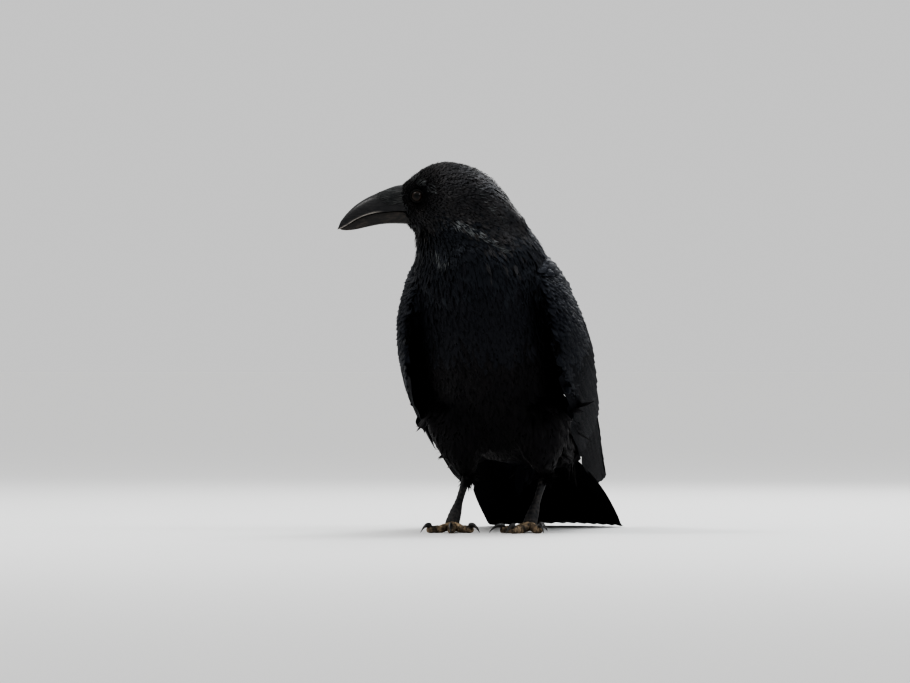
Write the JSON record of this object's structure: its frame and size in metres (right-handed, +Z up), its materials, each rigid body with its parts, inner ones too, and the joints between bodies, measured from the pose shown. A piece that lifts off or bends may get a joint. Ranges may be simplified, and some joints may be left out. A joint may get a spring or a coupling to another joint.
{
  "type": "raven",
  "caption": "Life-size still model of a common raven standing with its head turned over its right shoulder and its tail laid behind it.",
  "frame": {"origin": "on the floor, under the centre of the bird's bounding box", "axes": "+Z up, +Y towards the tail, +X towards the bird's left, so the body faces -Y and the head is turned towards -X"},
  "size_m": [0.225, 0.4278, 0.3535],
  "materials": {
    "body_plumage": "black contour feathers with a blue and purple gloss, browner on the head and belly",
    "flight_feathers": "black flight and tail feathers, satin with a cool gloss",
    "bill_horn": "black horn, satin, with fine wear",
    "leg_scales": "black scaled skin, matt, dusty towards the toes",
    "claw_horn": "black horn, satin",
    "eye": "very dark brown iris under a clear wet surface"
  },
  "bodies": {
    "root": {"bill_lower": "bill_horn", "bill_upper": "bill_horn", "claw_left_1": "claw_horn", "claw_left_2": "claw_horn", "claw_left_3": "claw_horn", "claw_left_4": "claw_horn", "claw_right_1": "claw_horn", "claw_right_2": "claw_horn", "claw_right_3": "claw_horn", "claw_right_4": "claw_horn", "eye_left": "eye", "eye_right": "eye", "head": "body_plumage", "nasal_tuft_left": "body_plumage", "nasal_tuft_right": "body_plumage", "neck": "body_plumage", "primaries_left": "flight_feathers", "primaries_right": "flight_feathers", "secondaries_left": "flight_feathers", "secondaries_right": "flight_feathers", "tail": "flight_feathers", "tarsus_left": "leg_scales", "tarsus_right": "leg_scales", "thigh_left": "body_plumage", "thigh_right": "body_plumage", "toe_left_1": "leg_scales", "toe_left_2": "leg_scales", "toe_left_3": "leg_scales", "toe_left_4": "leg_scales", "toe_right_1": "leg_scales", "toe_right_2": "leg_scales", "toe_right_3": "leg_scales", "toe_right_4": "leg_scales", "trunk": "body_plumage", "wing_left": "body_plumage", "wing_right": "body_plumage"}
  },
  "joints": []
}
